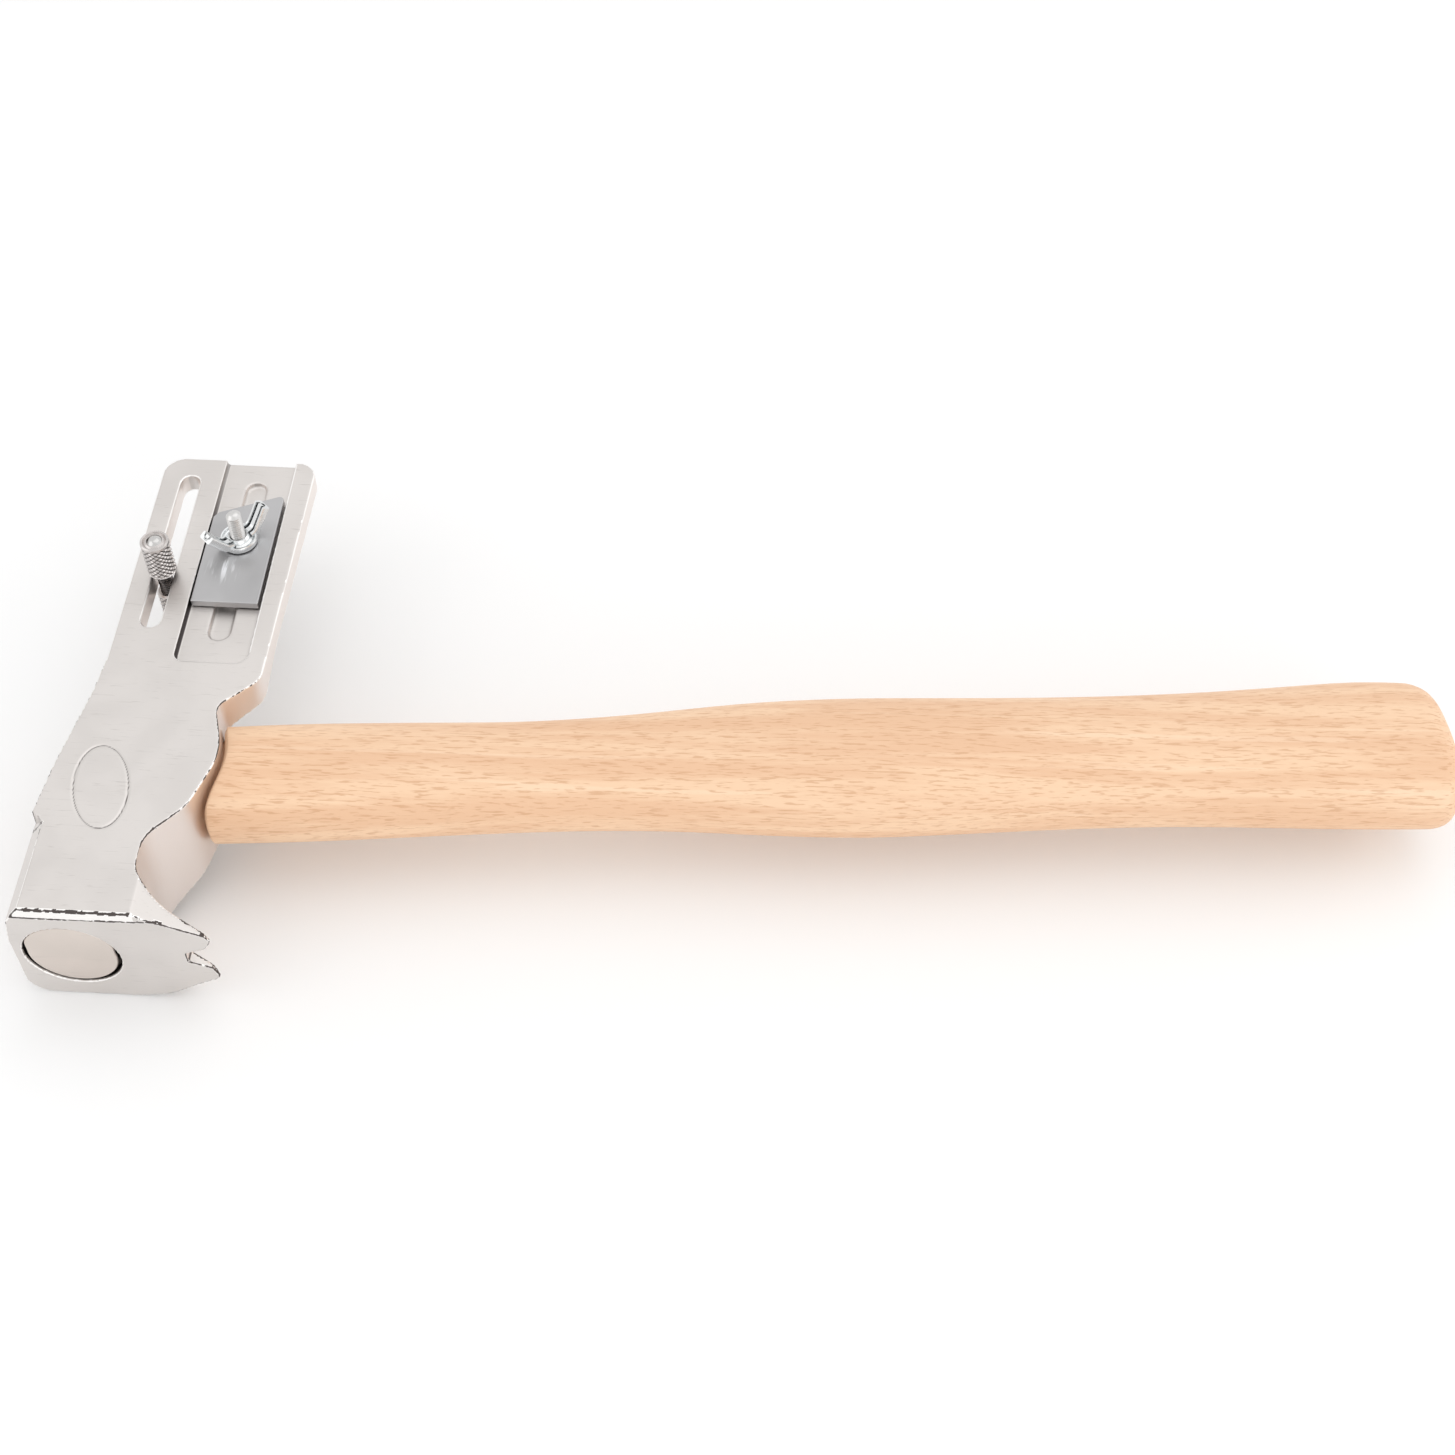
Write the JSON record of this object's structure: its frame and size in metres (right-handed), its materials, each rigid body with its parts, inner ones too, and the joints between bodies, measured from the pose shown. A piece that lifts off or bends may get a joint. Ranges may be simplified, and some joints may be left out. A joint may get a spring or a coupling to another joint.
{
  "type": "roofing hatchet",
  "caption": "Roofing hatchet with a round striking face, nail claw, sliding shingle gauge pin, clamped sliding blade and oval wooden handle.",
  "frame": {"origin": "centre of the round striking face, in the plane of the face", "axes": "-Y out of the striking face, +Y up the head to its blade end, +X along the handle to its butt, +Z out of the flat side that carries the blade"},
  "size_m": [0.3502, 0.1478, 0.0498],
  "materials": {
    "head_plating": "satin nickel plate over a forging",
    "striking_steel": "ground",
    "handle_wood": "smooth pale beech",
    "wedge_wood": "plain sawn",
    "plain_steel": "bright threaded steel",
    "blade_steel": "grey ground tool steel with scratches",
    "zinc_plate": "bright zinc plate",
    "knurled_steel": "diamond knurl"
  },
  "bodies": {
    "tool": {"head": "head_plating", "striking_face_insert": "striking_steel", "handle": "handle_wood", "wooden_wedge": "wedge_wood", "steel_wedge_1": "plain_steel", "steel_wedge_2": "plain_steel"},
    "blade_carriage": {"blade": "blade_steel", "blade_bolt": "plain_steel"},
    "wing_nut": {"wing_nut": "zinc_plate"},
    "gauge": {"gauge_stud": "plain_steel", "gauge_pin": "knurled_steel"},
    "thumb_nut": {"gauge_thumb_nut": "knurled_steel"}
  },
  "joints": [
    {"name": "blade_slide", "type": "slide", "parent": "tool", "child": "blade_carriage", "axis": [0, 1, 0], "range_m": [-0.015, 0.01]},
    {"name": "wing_nut_turn", "type": "hinge", "parent": "blade_carriage", "child": "wing_nut", "pos_m": [0.02075, 0.1173, 0.0225], "axis": [0, 0, 1], "range_deg": [0, 810]},
    {"name": "gauge_slide", "type": "slide", "parent": "tool", "child": "gauge", "axis": [0, 1, 0], "range_m": [-0.0155, 0.033]},
    {"name": "gauge_nut_turn", "type": "hinge", "parent": "gauge", "child": "thumb_nut", "pos_m": [0.0029, 0.1055, 0.0255], "axis": [0, 0, 1], "range_deg": [0, 810]}
  ]
}
